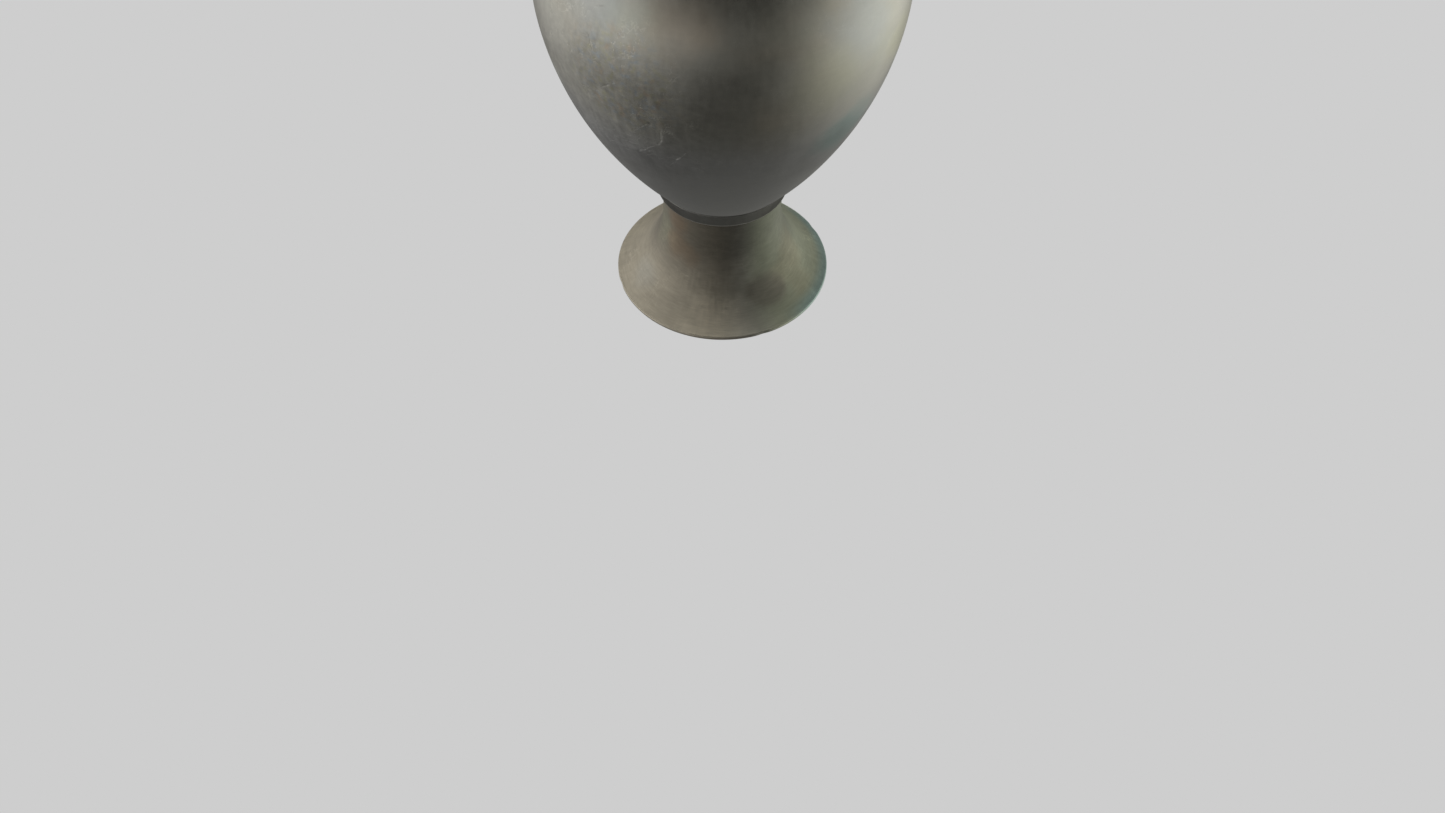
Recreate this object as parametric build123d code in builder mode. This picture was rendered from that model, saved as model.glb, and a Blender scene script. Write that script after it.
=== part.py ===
"""Footed amphora of spun sheet metal with two cast handles.

The vessel stands on z = 0 with its axis on Z.  A trumpet foot carries a tapered collar,
and an ovoid body rises from the collar.  The body is two spun shells that meet at the
belly, closed by a neck and a turned lip.  A threaded rod on the axis clamps the body,
the collar, the foot and a dished base plate together.  All sizes are in millimetres.
"""

from build123d import *

import os
from math import asin, cos, degrees, radians, sin, sqrt

# ---------------------------------------------------------------- driving dimensions
SHEET = 1.6  # wall of every spun shell
FIT = 0.1  # clearance of a pin or spigot in its hole

FOOT_RADIUS = 62.0  # at the rim
FOOT_TOP = 67.5
STEM_RADIUS = 34.0  # waist of the foot, just under the collar
FLARE_RADIUS = 54.0  # the flare is one arc from the stem to the rim
RIM_BOTTOM = 0.8  # the felt stands this far below the rim
RIM_TOP = 2.2

FELT_THICKNESS = 2.0
FELT_RADIUS = 56.0
DISH_DEPTH = 10.0
DISH_RADIUS = 12.0
DISH_MOUTH_RADIUS = 22.0

COLLAR_HEIGHT = 10.0
COLLAR_BOTTOM_RADIUS = 37.2
COLLAR_TOP_RADIUS = 39.9
COLLAR_EDGE = 0.9  # rounding of the collar's lower edge
COLLAR_POCKET_RADIUS = 28.0
COLLAR_WEB = 3.0

BODY_BOTTOM = FOOT_TOP + COLLAR_HEIGHT
BELLY_RADIUS = 98.8
BELLY_HEIGHT = 216.0
BOWL_UPPER_ARC = 119.0  # the bowl is two arcs, tighter near the belly
BOWL_UPPER_SWEEP = 12.0  # degrees
BOWL_LOWER_ARC = 254.0
SHOULDER_ARC = 84.0
SHOULDER_SWEEP = 68.0  # degrees from the belly up to the flat land round the opening

SEAM_RING_HEIGHT = 14.0
SEAM_RING_WALL = 1.4

NECK_RADIUS = 34.0
NECK_SPIGOT = 7.0  # depth of the neck below the shoulder's land
NECK_STRAIGHT_TOP = 352.0
NECK_FLARE_ARC = 62.0
NECK_FLARE_SWEEP = 45.0  # degrees, before the flare is cut off level at the top
NECK_TOP = 386.0

NECK_RING_HEIGHT = 11.0
NECK_RING_TOP_RADIUS = 37.0
NECK_RING_STEP = 2.4  # upright edge at its foot

LIP_HEIGHT = 14.0
LIP_RADIUS = 51.0
LIP_UNDERCUT = 5.6  # height of its slanting underside
LIP_ROUNDING = 2.8

ROD_RADIUS = 3.0
ROD_CHAMFER = 0.6
ROD_STICK_OUT = 2.0  # thread showing past each nut
NUT_RADIUS = 5.8  # to the corners
NUT_HEIGHT = 5.0
WASHER_RADIUS = 9.0
WASHER_THICKNESS = 1.6

BAND_RADIUS = 36.4
BAND_HEIGHT = 20.0
BAND_MIDDLE = 338.0
BAND_EDGE = 0.8

PALM_ANGLE = 46.0  # degrees above the belly where a handle meets the shoulder
PALM_THICKNESS = 2.6
PALM_TOP_RADIUS = 15.0
PALM_TIP_RADIUS = 6.0
PALM_RISE = 5.0  # centre of the palm's round top, above the middle of the handle
PALM_DROP = 19.0  # centre of its tip, below the middle of the handle
PALM_EDGE = 1.0
PALM_BLANK = 10.0  # thickness of the plate before it is formed to the shoulder

HANDLE_REACH = 92.0  # radius of the handle's outermost point
HANDLE_ELBOW = 332.0  # its height
HANDLE_RISE = 45.0  # degrees above level where the handle leaves the neck
HANDLE_LOOP = 36.0  # how strongly the loop rises over the elbow
HANDLE_DROP = 20.0  # how long the handle falls upright below the elbow
HANDLE_FILLET = 3.0  # where the handle grows out of its palm
HANDLE_ROOT = 12.0  # reach round the handle's lower end that takes in only that joint
HANDLE_SECTIONS = (  # place along the spine, width round the vessel, thickness
    (0.0, 18.0, 12.0),
    (0.25, 13.0, 9.0),
    (0.55, 12.0, 8.4),
    (0.85, 13.0, 9.0),
    (1.0, 17.0, 11.0),
)

RIVET_RADIUS = 1.6
RIVET_HEAD_RADIUS = 3.0
RIVET_HEAD_HEIGHT = 1.7
RIVET_TAIL_RADIUS = 2.6
RIVET_TAIL_HEIGHT = 1.0
RIVET_PLACES = ((0.0, -18.0), (8.5, 11.0), (-8.5, 11.0))  # sideways, uphill from the middle

# ---------------------------------------------------------------- places worked out from them
SHOULDER_CENTRE = BELLY_RADIUS - SHOULDER_ARC
FLARE_CENTRE = STEM_RADIUS + FLARE_RADIUS
FLARE_TOP = RIM_TOP + sqrt(FLARE_RADIUS**2 - (FLARE_CENTRE - FOOT_RADIUS) ** 2)
ROD_HOLE = ROD_RADIUS + FIT
PLATE_TOP = FELT_THICKNESS + SHEET
DISH_TOP = PLATE_TOP + DISH_DEPTH
DISH_FLOOR = FELT_THICKNESS + DISH_DEPTH
BODY_FLOOR = BODY_BOTTOM + SHEET
NECK_FLARE_CENTRE = NECK_RADIUS + NECK_FLARE_ARC

bowl_joint = BELLY_HEIGHT - BOWL_UPPER_ARC * sin(radians(BOWL_UPPER_SWEEP))
bowl_turn = sin(radians(BOWL_UPPER_SWEEP)) + (bowl_joint - BODY_BOTTOM) / BOWL_LOWER_ARC
BOWL_LOWER_SWEEP = degrees(asin(bowl_turn)) - BOWL_UPPER_SWEEP


def arc_radius_at(centre, radius, height):
    """Radius of the inward side of an arc about (centre, 0), at a height above its centre."""
    return centre - sqrt(radius**2 - height**2)


def on_shoulder(angle, height=0.0):
    """(radius, z) of a point on the shoulder's outside, or `height` proud of it."""
    reach = SHOULDER_ARC + height
    turn = radians(angle)
    return SHOULDER_CENTRE + reach * cos(turn), BELLY_HEIGHT + reach * sin(turn)


def shoulder_plane(azimuth, angle, height=0.0):
    """Plane that touches the shoulder there; its x runs round the vessel and its y uphill."""
    radius, z = on_shoulder(angle, height)
    around = radians(azimuth)
    up = radians(angle)
    return Plane(
        origin=(radius * cos(around), radius * sin(around), z),
        x_dir=(-sin(around), cos(around), 0),
        z_dir=(cos(up) * cos(around), cos(up) * sin(around), sin(up)),
    )


def rivet_planes(azimuth, height=0.0):
    """Planes on the shoulder at the three rivets of the handle at that azimuth."""
    planes = []
    for sideways, uphill in RIVET_PLACES:
        angle = PALM_ANGLE + degrees(uphill / SHOULDER_ARC)
        radius = on_shoulder(angle)[0]
        planes.append(shoulder_plane(azimuth + degrees(sideways / radius), angle, height))
    return planes


LAND_RADIUS, LAND_HEIGHT = on_shoulder(SHOULDER_SWEEP)

os.makedirs("parts", exist_ok=True)


def write(piece, name):
    """Labels a finished piece and writes it as its own STEP file."""
    piece.part.label = name
    export_step(piece.part, f"parts/{name}.step")


def bowl_curve():
    """Outside of the bowl, from the belly down to the collar.  Returns its lower arc."""
    upper = JernArc((BELLY_RADIUS, BELLY_HEIGHT), (0, -1), BOWL_UPPER_ARC, -BOWL_UPPER_SWEEP)
    return JernArc(upper @ 1, upper % 1, BOWL_LOWER_ARC, -BOWL_LOWER_SWEEP)


def shoulder_curve():
    """Outside of the shoulder, from the belly up to the land."""
    return CenterArc((SHOULDER_CENTRE, BELLY_HEIGHT), SHOULDER_ARC, 0, SHOULDER_SWEEP)


# ---------------------------------------------------------------- foot and base
# A straight stem that flares in one arc to the rim, whose edge stands upright.
with BuildPart() as foot:
    with BuildSketch(Plane.XZ):
        with BuildLine():
            roof = Line((ROD_HOLE, FOOT_TOP), (STEM_RADIUS, FOOT_TOP))
            stem = Line(roof @ 1, (STEM_RADIUS, FLARE_TOP))
            flare = RadiusArc(stem @ 1, (FOOT_RADIUS, RIM_TOP), -FLARE_RADIUS)
            Line(flare @ 1, (FOOT_RADIUS, RIM_BOTTOM))
            offset(amount=SHEET, side=Side.RIGHT)
        make_face()
    revolve(axis=Axis.Z)
write(foot, "foot")

# The base plate bears on the inside of the flare, near the rim, and is dished for the nut.
plate_radius = arc_radius_at(FLARE_CENTRE, FLARE_RADIUS + SHEET, FLARE_TOP - PLATE_TOP) - FIT / 2
with BuildPart() as base_plate:
    with BuildSketch(Plane.XZ):
        with BuildLine():
            Polyline(
                (plate_radius, PLATE_TOP),
                (DISH_MOUTH_RADIUS, PLATE_TOP),
                (DISH_RADIUS, DISH_TOP),
                (ROD_HOLE, DISH_TOP),
            )
            offset(amount=SHEET, side=Side.LEFT)
        make_face()
    revolve(axis=Axis.Z)
write(base_plate, "base_plate")

with BuildPart() as felt_pad:
    Cylinder(FELT_RADIUS, FELT_THICKNESS, align=(Align.CENTER, Align.CENTER, Align.MIN))
write(felt_pad, "felt_pad")

# ---------------------------------------------------------------- collar
with BuildPart() as collar:
    with BuildSketch(Plane.XZ):
        with BuildLine():
            Polyline(
                (ROD_HOLE, FOOT_TOP + COLLAR_HEIGHT - COLLAR_WEB),
                (COLLAR_POCKET_RADIUS, FOOT_TOP + COLLAR_HEIGHT - COLLAR_WEB),
                (COLLAR_POCKET_RADIUS, FOOT_TOP),
                (COLLAR_BOTTOM_RADIUS, FOOT_TOP),
                (COLLAR_TOP_RADIUS, BODY_BOTTOM),
                (ROD_HOLE, BODY_BOTTOM),
                close=True,
            )
        make_face()
    revolve(axis=Axis.Z)
    bottom_edges = collar.edges().filter_by(GeomType.CIRCLE).group_by(Axis.Z)[0]
    fillet(bottom_edges.sort_by(SortBy.RADIUS)[-1], COLLAR_EDGE)
write(collar, "collar")

# ---------------------------------------------------------------- body
with BuildPart() as lower_body:
    with BuildSketch(Plane.XZ):
        with BuildLine():
            bowl = bowl_curve()
            Line(bowl @ 1, (ROD_HOLE, BODY_BOTTOM))
            offset(amount=SHEET, side=Side.RIGHT)
        make_face()
    revolve(axis=Axis.Z)
write(lower_body, "lower_body")

# A strip that laps both shells behind the seam at the belly.
with BuildPart() as seam_ring:
    with BuildSketch(Plane.XZ):
        with BuildLine():
            bowl_curve()
            shoulder_curve()
            offset(amount=SHEET, side=Side.RIGHT, closed=False, mode=Mode.REPLACE)
            offset(amount=SEAM_RING_WALL, side=Side.RIGHT)
        make_face()
        with Locations((BELLY_RADIUS, BELLY_HEIGHT)):
            Rectangle(BELLY_RADIUS, SEAM_RING_HEIGHT, mode=Mode.INTERSECT)
    revolve(axis=Axis.Z)
write(seam_ring, "seam_ring")

# Drawn on YZ, so that the closing line of the surface stays clear of the rivet holes on X.
inner_arc = SHOULDER_ARC - SHEET
land_under = LAND_HEIGHT - SHEET
inner_sweep = degrees(asin((land_under - BELLY_HEIGHT) / inner_arc))
with BuildPart() as shoulder:
    with BuildSketch(Plane.YZ):
        with BuildLine():
            outside = shoulder_curve()
            inside = CenterArc((SHOULDER_CENTRE, BELLY_HEIGHT), inner_arc, 0, inner_sweep)
            Polyline(
                outside @ 1,
                (NECK_RADIUS + FIT, LAND_HEIGHT),
                (NECK_RADIUS + FIT, land_under),
                inside @ 1,
            )
            Line(inside @ 0, outside @ 0)
        make_face()
    revolve(axis=Axis.Z)
    for azimuth in (0, 180):
        with Locations(*rivet_planes(azimuth)):
            Hole(RIVET_RADIUS + FIT, 2 * SHEET)
write(shoulder, "shoulder")

# ---------------------------------------------------------------- neck and lip
with BuildPart() as neck:
    with BuildSketch(Plane.XZ):
        with BuildLine():
            tube = Line((NECK_RADIUS, LAND_HEIGHT - NECK_SPIGOT), (NECK_RADIUS, NECK_STRAIGHT_TOP))
            JernArc(tube @ 1, tube % 1, NECK_FLARE_ARC, -NECK_FLARE_SWEEP)
            offset(amount=SHEET, side=Side.LEFT)
        make_face()
    revolve(axis=Axis.Z)
    split(bisect_by=Plane.XY.offset(NECK_TOP), keep=Keep.BOTTOM)
write(neck, "neck")

# A moulding that covers the joint of neck and shoulder: an upright step, then a cove.
with BuildPart() as neck_ring:
    with BuildSketch(Plane.XZ):
        with BuildLine():
            step = Line((LAND_RADIUS, LAND_HEIGHT), (LAND_RADIUS, LAND_HEIGHT + NECK_RING_STEP))
            cove = SagittaArc(
                step @ 1, (NECK_RING_TOP_RADIUS, LAND_HEIGHT + NECK_RING_HEIGHT), -NECK_RING_STEP
            )
            Polyline(
                cove @ 1,
                (NECK_RADIUS + FIT, LAND_HEIGHT + NECK_RING_HEIGHT),
                (NECK_RADIUS + FIT, LAND_HEIGHT),
                step @ 0,
            )
        make_face()
    revolve(axis=Axis.Z)
write(neck_ring, "neck_ring")

# The lip sits on the cut end of the neck and rolls outward.
lip_seat_inner = arc_radius_at(NECK_FLARE_CENTRE, NECK_FLARE_ARC + SHEET, NECK_TOP - NECK_STRAIGHT_TOP)
lip_seat_outer = arc_radius_at(NECK_FLARE_CENTRE, NECK_FLARE_ARC, NECK_TOP - NECK_STRAIGHT_TOP)
with BuildPart() as lip:
    with BuildSketch(Plane.XZ):
        with BuildLine():
            Polyline(
                (lip_seat_inner, NECK_TOP),
                (lip_seat_outer, NECK_TOP),
                (LIP_RADIUS, NECK_TOP + LIP_UNDERCUT),
                (LIP_RADIUS, NECK_TOP + LIP_HEIGHT),
                (lip_seat_inner, NECK_TOP + LIP_HEIGHT),
                close=True,
            )
        lip_face = make_face()
        fillet(lip_face.vertices().group_by(Axis.Y)[-1], LIP_ROUNDING)
    revolve(axis=Axis.Z)
write(lip, "lip")

# ---------------------------------------------------------------- handles
with BuildPart() as neck_band:
    with Locations((0, 0, BAND_MIDDLE)):
        Cylinder(BAND_RADIUS, BAND_HEIGHT)
        Cylinder(NECK_RADIUS + FIT / 2, BAND_HEIGHT, mode=Mode.SUBTRACT)
    fillet(neck_band.edges().filter_by(GeomType.CIRCLE).group_by(SortBy.RADIUS)[-1], BAND_EDGE)
write(neck_band, "neck_band")

# The palm is a drop-shaped plate that lies along the shoulder.
with BuildPart() as palm:
    with BuildSketch(shoulder_plane(0, PALM_ANGLE, -PALM_BLANK / 2)):
        with Locations((0, PALM_RISE)):
            Circle(PALM_TOP_RADIUS)
        with Locations((0, -PALM_DROP)):
            Circle(PALM_TIP_RADIUS)
        make_hull()
    extrude(amount=PALM_BLANK)
    with BuildSketch(Plane.YZ):
        with BuildLine():
            shoulder_curve()
            offset(amount=PALM_THICKNESS, side=Side.RIGHT)
        make_face()
    revolve(axis=Axis.Z, mode=Mode.INTERSECT)
    with Locations(*rivet_planes(0)):
        Hole(RIVET_RADIUS + FIT, 2 * PALM_THICKNESS)
    outward = Axis((0, 0, 0), tuple(shoulder_plane(0, PALM_ANGLE).z_dir))
    fillet(palm.faces().sort_by(outward)[-1].outer_wire().edges(), PALM_EDGE)

rise = radians(HANDLE_RISE)
palm_angle = radians(PALM_ANGLE)
palm_radius, palm_height = on_shoulder(PALM_ANGLE, PALM_THICKNESS / 2)
with BuildPart() as handle_right:
    with BuildLine(Plane.XZ) as spine:
        over = Bezier(
            (NECK_RADIUS, BAND_MIDDLE),
            (NECK_RADIUS + HANDLE_DROP * cos(rise), BAND_MIDDLE + HANDLE_DROP * sin(rise)),
            (HANDLE_REACH, HANDLE_ELBOW + HANDLE_LOOP),
            (HANDLE_REACH, HANDLE_ELBOW),
        )
        Bezier(
            over @ 1,
            (HANDLE_REACH, HANDLE_ELBOW - HANDLE_DROP),
            (palm_radius + HANDLE_DROP * cos(palm_angle), palm_height + HANDLE_DROP * sin(palm_angle)),
            (palm_radius, palm_height),
        )
    path = spine.wires()[0]
    for place, width, thickness in HANDLE_SECTIONS:
        with BuildSketch(Plane(path @ place, x_dir=(0, 1, 0), z_dir=path % place)):
            Ellipse(width / 2, thickness / 2)
    sweep(path=path, multisection=True)
    with Locations((0, 0, BAND_MIDDLE)):
        Cylinder(BAND_RADIUS, 2 * BAND_HEIGHT, mode=Mode.SUBTRACT)
    add(palm.part)
    root = Vector(palm_radius, 0, palm_height)
    root_edges = handle_right.edges().filter_by(lambda edge: (edge @ 0.5 - root).length < HANDLE_ROOT)
    fillet(root_edges, HANDLE_FILLET)
write(handle_right, "handle_right")

with BuildPart() as handle_left:
    add(handle_right.part, rotation=(0, 0, 180))
write(handle_left, "handle_left")

# Each rivet: a domed head on the palm, a shank through palm and shoulder, and a set tail inside.
with BuildPart() as handle_rivets:
    for azimuth in (0, 180):
        for base in rivet_planes(azimuth):
            dome_radius = (RIVET_HEAD_RADIUS**2 + RIVET_HEAD_HEIGHT**2) / (2 * RIVET_HEAD_HEIGHT)
            tail = -SHEET - FIT - RIVET_TAIL_HEIGHT
            with BuildSketch(Plane(base.origin, x_dir=base.x_dir, z_dir=-base.y_dir)):
                with BuildLine():
                    under = Polyline(
                        (0, tail),
                        (RIVET_TAIL_RADIUS, tail),
                        (RIVET_TAIL_RADIUS, tail + RIVET_TAIL_HEIGHT),
                        (RIVET_RADIUS, tail + RIVET_TAIL_HEIGHT),
                        (RIVET_RADIUS, PALM_THICKNESS),
                        (RIVET_HEAD_RADIUS, PALM_THICKNESS),
                    )
                    RadiusArc(under @ 1, (0, PALM_THICKNESS + RIVET_HEAD_HEIGHT), -dome_radius)
                    Line((0, PALM_THICKNESS + RIVET_HEAD_HEIGHT), (0, tail))
                make_face()
            revolve(axis=Axis(base.origin, base.z_dir))
write(handle_rivets, "handle_rivets")

# ---------------------------------------------------------------- clamping rod on the axis
TOP_NUT_FOOT = BODY_FLOOR + WASHER_THICKNESS
BOTTOM_NUT_TOP = DISH_FLOOR - WASHER_THICKNESS
ROD_TOP = TOP_NUT_FOOT + NUT_HEIGHT + ROD_STICK_OUT
ROD_BOTTOM = BOTTOM_NUT_TOP - NUT_HEIGHT - ROD_STICK_OUT

with BuildPart() as tie_rod:
    with BuildSketch(Plane.XY.offset(ROD_BOTTOM)):
        Circle(ROD_RADIUS)
    extrude(amount=ROD_TOP - ROD_BOTTOM)
    chamfer(tie_rod.edges().filter_by(GeomType.CIRCLE), ROD_CHAMFER)
write(tie_rod, "tie_rod")


def draw_nut():
    """Hexagon with a hole for the rod, in the open sketch."""
    RegularPolygon(NUT_RADIUS, 6)
    Circle(ROD_RADIUS, mode=Mode.SUBTRACT)


def draw_washer():
    """Plain washer, in the open sketch."""
    Circle(WASHER_RADIUS)
    Circle(ROD_HOLE, mode=Mode.SUBTRACT)


with BuildPart() as top_nut:
    with BuildSketch(Plane.XY.offset(TOP_NUT_FOOT)):
        draw_nut()
    extrude(amount=NUT_HEIGHT)
write(top_nut, "top_nut")

with BuildPart() as bottom_nut:
    with BuildSketch(Plane.XY.offset(BOTTOM_NUT_TOP - NUT_HEIGHT)):
        draw_nut()
    extrude(amount=NUT_HEIGHT)
write(bottom_nut, "bottom_nut")

with BuildPart() as seal_washer:
    with BuildSketch(Plane.XY.offset(BODY_FLOOR)):
        draw_washer()
    extrude(amount=WASHER_THICKNESS)
write(seal_washer, "seal_washer")

with BuildPart() as bottom_washer:
    with BuildSketch(Plane.XY.offset(BOTTOM_NUT_TOP)):
        draw_washer()
    extrude(amount=WASHER_THICKNESS)
write(bottom_washer, "bottom_washer")
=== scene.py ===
"""Looks of the footed amphora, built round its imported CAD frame.

The turned and spun pieces are lathed here as fine closed meshes on the frame's own sizes.
Lengths are metres; MM turns the drawing's millimetres into metres.
"""

from math import atan2, cos, dist, hypot, pi, radians, sin, sqrt

import bpy
from mathutils import Euler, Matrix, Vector, noise


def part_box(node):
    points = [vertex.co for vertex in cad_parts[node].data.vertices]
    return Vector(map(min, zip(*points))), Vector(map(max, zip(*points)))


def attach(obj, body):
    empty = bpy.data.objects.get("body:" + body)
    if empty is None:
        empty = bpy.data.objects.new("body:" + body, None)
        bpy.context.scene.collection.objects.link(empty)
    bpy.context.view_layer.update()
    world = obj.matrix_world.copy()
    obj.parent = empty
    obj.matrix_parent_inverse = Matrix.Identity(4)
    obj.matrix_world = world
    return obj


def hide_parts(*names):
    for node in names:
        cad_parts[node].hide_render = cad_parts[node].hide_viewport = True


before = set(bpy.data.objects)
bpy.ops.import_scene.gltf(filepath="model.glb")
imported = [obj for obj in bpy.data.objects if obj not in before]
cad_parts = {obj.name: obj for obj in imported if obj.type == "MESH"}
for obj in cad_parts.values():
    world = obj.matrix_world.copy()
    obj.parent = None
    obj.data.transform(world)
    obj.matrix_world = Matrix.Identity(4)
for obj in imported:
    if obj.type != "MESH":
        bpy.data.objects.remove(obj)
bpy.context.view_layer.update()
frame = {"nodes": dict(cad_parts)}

MM = 0.001
SHEET = 1.6 * MM  # wall of the spun shells
FIT = 0.1 * MM  # free play round the rod and the neck
TURNS = 320  # facets round the axis
ROW = 0.9 * MM  # spacing of rings on the visible curves
COARSER = 3  # the inside of a shell keeps every third ring of its outside
CRISP = radians(35)  # edges sharper than this aren't smoothed
TOUCHING = 1e-7  # points of an outline closer than this are one

# ---------------------------------------------------------------- sizes read from the frame
foot_low, foot_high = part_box("foot")
collar_low, collar_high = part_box("collar")
bowl_low, bowl_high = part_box("lower_body")
shoulder_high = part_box("shoulder")[1]
neck_low, neck_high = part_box("neck")
ring_low, ring_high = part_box("neck_ring")
lip_low, lip_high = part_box("lip")
rod_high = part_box("tie_rod")[1]

FOOT_RADIUS = foot_high.x
BELLY_RADIUS = bowl_high.x
BELLY_HEIGHT = bowl_high.z
COLLAR_TOP_RADIUS = collar_high.x
ROD_HOLE = rod_high.x + FIT

# ---------------------------------------------------------------- curves of the drawing
STEM_RADIUS = 34.0 * MM
FLARE_RADIUS = 54.0 * MM
RIM_EDGE = 1.4 * MM  # upright edge of the foot's rim
COLLAR_BOTTOM_RADIUS = 37.2 * MM
COLLAR_EDGE = 0.9 * MM  # rounding of its lower edge
COLLAR_POCKET_RADIUS = 28.0 * MM
COLLAR_WEB = 3.0 * MM  # thickness over the pocket
BOWL_START_RADIUS = 39.4 * MM
BOWL_SLOPE = radians(40.0)  # from upright, where the bowl leaves the collar
BOWL_LOWER_PULL = 79.0 * MM
BOWL_UPPER_PULL = 20.7 * MM
SHOULDER_ARC = 84.0 * MM
SHOULDER_CENTRE = BELLY_RADIUS - SHOULDER_ARC
SHOULDER_SWEEP = radians(68.0)
NECK_RADIUS = 34.0 * MM
NECK_HOLE = NECK_RADIUS + FIT
NECK_FLARE_ARC = 62.0 * MM
NECK_STRAIGHT_TOP = 352.0 * MM
RING_STEP = 2.4 * MM
RING_TOP_RADIUS = 37.0 * MM


def added(name, data):
    """A new object in the scene."""
    thing = bpy.data.objects.new(name, data)
    bpy.context.scene.collection.objects.link(thing)
    return thing


# ---------------------------------------------------------------- curves and lathing
def steps_for(length):
    """How many stretches a curve of that length is cut into."""
    return max(2, round(length / ROW))


def line(start, end):
    """Points from start to end, both included."""
    count = steps_for(dist(start, end))
    return [
        (start[0] + (end[0] - start[0]) * i / count, start[1] + (end[1] - start[1]) * i / count)
        for i in range(count + 1)
    ]


def arc(centre, radius, start, end):
    """Points on an arc about centre; angles are radians from the outward direction."""
    count = steps_for(abs(end - start) * radius)
    angles = [start + (end - start) * i / count for i in range(count + 1)]
    return [(centre[0] + radius * cos(a), centre[1] + radius * sin(a)) for a in angles]


def bezier(a, b, c, d):
    """Points on a cubic curve."""
    count = steps_for(dist(a, d) * 1.1)
    points = []
    for i in range(count + 1):
        t = i / count
        s = 1 - t
        weights = (s**3, 3 * s * s * t, 3 * s * t * t, t**3)
        points.append(tuple(sum(w * p[k] for w, p in zip(weights, (a, b, c, d))) for k in (0, 1)))
    return points


def inward(points, distance):
    """The curve moved sideways by distance, to the left of its own direction."""
    moved = []
    for i, (r, z) in enumerate(points):
        before = points[max(i - 1, 0)]
        after = points[min(i + 1, len(points) - 1)]
        dr, dz = after[0] - before[0], after[1] - before[1]
        length = hypot(dr, dz)
        moved.append((r - dz / length * distance, z + dr / length * distance))
    return moved


def shell_inside(outside):
    """The inner face of a spun shell, run back against the direction of its outer face."""
    return inward(outside, SHEET)[::-1][::COARSER]


def join(*curves):
    """One outline from several curves, without doubled points."""
    outline = []
    for curve in curves:
        for point in curve:
            if not outline or dist(point, outline[-1]) > TOUCHING:
                outline.append(point)
    if dist(outline[0], outline[-1]) < TOUCHING:
        outline.pop()
    return outline


def lathe(name, outline, node, shape=None):
    """A closed outline of (radius, z) turned about Z into a piece that stands for a CAD node.

    shape, if given, moves each vertex a little along its radius, in metres.
    """
    count = len(outline)
    vertices = []
    for turn in range(TURNS):
        angle = 2 * pi * turn / TURNS
        for r, z in outline:
            reach = r + (shape(angle, r, z) if shape else 0.0)
            vertices.append((reach * cos(angle), reach * sin(angle), z))
    faces = []
    for turn in range(TURNS):
        here, there = turn * count, (turn + 1) % TURNS * count
        for k in range(count):
            after = (k + 1) % count
            faces.append((here + k, there + k, there + after, here + after))
    mesh = bpy.data.meshes.new(name)
    mesh.from_pydata(vertices, [], faces)
    mesh.validate()
    area = sum(
        outline[k][0] * outline[(k + 1) % count][1] - outline[(k + 1) % count][0] * outline[k][1]
        for k in range(count)
    )
    if area < 0:
        mesh.flip_normals()
    mesh.polygons.foreach_set("use_smooth", [True] * len(mesh.polygons))
    mesh.set_sharp_from_angle(angle=CRISP)
    piece = added(name, mesh)
    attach(piece, "root")
    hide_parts(node)
    return piece


# ---------------------------------------------------------------- foot and collar
def foot_outline():
    """Roof, straight stem, one flaring arc and the upright rim, then back along the inside."""
    centre_radius = STEM_RADIUS + FLARE_RADIUS
    past_rim = centre_radius - FOOT_RADIUS
    drop = sqrt(FLARE_RADIUS**2 - past_rim**2)
    flare_top = foot_low.z + RIM_EDGE + drop
    centre = (centre_radius, flare_top)
    end = pi + atan2(drop, past_rim)
    flare = arc(centre, FLARE_RADIUS, pi, end)
    under = arc(centre, FLARE_RADIUS + SHEET, end, pi)
    rim_inner = (FOOT_RADIUS - SHEET, foot_low.z)
    under = [point for point in under if point[0] < rim_inner[0] and point[1] > foot_low.z]
    bend = 0.5 * MM
    return join(
        line((ROD_HOLE, foot_high.z), (STEM_RADIUS, foot_high.z)),
        line((STEM_RADIUS, foot_high.z), (STEM_RADIUS, flare_top)),
        flare[:-1],
        arc((FOOT_RADIUS - bend, foot_low.z + RIM_EDGE), bend, radians(60), 0),
        arc((FOOT_RADIUS - bend, foot_low.z + bend), bend, 0, -pi / 2),
        [rim_inner],
        under,
        [(STEM_RADIUS - SHEET, foot_high.z - SHEET), (ROD_HOLE, foot_high.z - SHEET)],
    )


def collar_outline():
    """Tapered band with a rounded lower edge and an open pocket for the nut underneath."""
    low, high = collar_low.z, collar_high.z
    web = high - COLLAR_WEB
    lean = atan2(COLLAR_TOP_RADIUS - COLLAR_BOTTOM_RADIUS, high - low)
    centre = (COLLAR_BOTTOM_RADIUS - COLLAR_EDGE * 0.75, low + COLLAR_EDGE)
    return join(
        [(ROD_HOLE, high)],
        [(COLLAR_TOP_RADIUS - 0.25 * MM, high), (COLLAR_TOP_RADIUS, high - 0.3 * MM)],
        arc(centre, COLLAR_EDGE, -lean, -pi / 2),
        [(COLLAR_POCKET_RADIUS, low), (COLLAR_POCKET_RADIUS, web), (ROD_HOLE, web)],
    )


# ---------------------------------------------------------------- body
def bowl_curve():
    """Outside of the bowl, from the collar up to the belly."""
    start = (BOWL_START_RADIUS, bowl_low.z)
    return bezier(
        start,
        (start[0] + BOWL_LOWER_PULL * sin(BOWL_SLOPE), start[1] + BOWL_LOWER_PULL * cos(BOWL_SLOPE)),
        (BELLY_RADIUS, BELLY_HEIGHT - BOWL_UPPER_PULL),
        (BELLY_RADIUS, BELLY_HEIGHT),
    )


def shoulder_curve():
    """Outside of the shoulder, from the belly up to the flat land."""
    return arc((SHOULDER_CENTRE, BELLY_HEIGHT), SHOULDER_ARC, 0, SHOULDER_SWEEP)


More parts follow.
